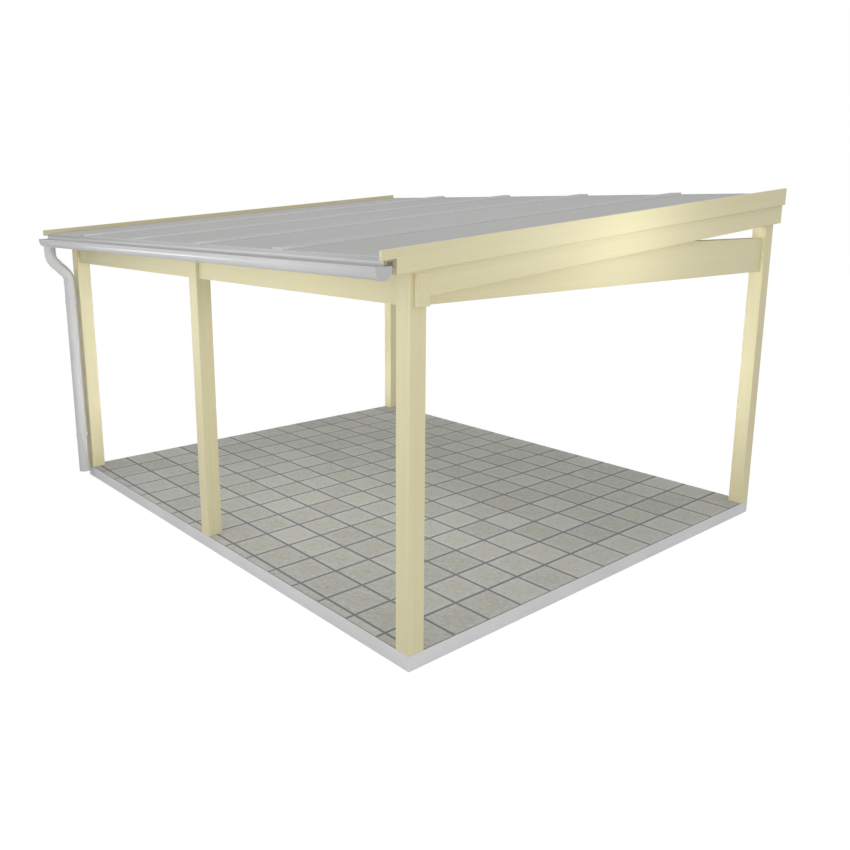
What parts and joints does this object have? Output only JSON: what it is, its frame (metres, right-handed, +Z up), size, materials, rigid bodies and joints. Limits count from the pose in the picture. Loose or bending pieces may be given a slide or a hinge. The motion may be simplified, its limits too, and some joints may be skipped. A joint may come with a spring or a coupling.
{
  "type": "garden room frame",
  "caption": "Open timber garden room frame on a tiled slab, with a shallow single-pitch sheet roof, housed beams, eaves gutter and swan-neck downpipe.",
  "frame": {"origin": "centre of the underside of the floor slab, at ground level", "axes": "+X along the eave towards the right-hand gable, +Y from the eave to the high wall side, +Z up"},
  "size_m": [4.916, 4.316, 2.7669],
  "materials": {
    "concrete": "matt",
    "floor_tile": "matt",
    "timber": "painted",
    "roof_sheet": "satin",
    "roof_trim": "satin",
    "rainwater": "satin"
  },
  "bodies": {
    "root": {"floor_slab": "concrete", "floor_tiles": "floor_tile", "post_front_right": "timber", "post_front_middle": "timber", "post_front_left": "timber", "post_back_right": "timber", "post_back_left": "timber", "eave_beam": "timber", "wall_beam": "timber", "tie_beam_right": "timber", "tie_beam_left": "timber", "gable_rafter_right": "timber", "gable_rafter_left": "timber", "rafter_1": "timber", "rafter_2": "timber", "rafter_3": "timber", "rafter_4": "timber", "bargeboard_right": "timber", "bargeboard_left": "timber", "roof_sheet_1": "roof_sheet", "roof_sheet_2": "roof_sheet", "roof_sheet_3": "roof_sheet", "roof_sheet_4": "roof_sheet", "roof_sheet_5": "roof_sheet", "roof_bar_1": "roof_trim", "roof_bar_2": "roof_trim", "roof_bar_3": "roof_trim", "roof_bar_4": "roof_trim", "eave_profile": "roof_trim", "wall_profile": "roof_trim", "edge_profile_right": "roof_trim", "edge_profile_left": "roof_trim", "gutter": "rainwater", "gutter_bracket_1": "rainwater", "gutter_bracket_2": "rainwater", "gutter_bracket_3": "rainwater", "gutter_bracket_4": "rainwater", "gutter_bracket_5": "rainwater", "gutter_bracket_6": "rainwater", "pipe_drop": "rainwater", "upper_elbow": "rainwater", "pipe_link": "rainwater", "lower_elbow": "rainwater", "downpipe": "rainwater", "pipe_clip_1": "rainwater", "pipe_clip_2": "rainwater"}
  },
  "joints": []
}
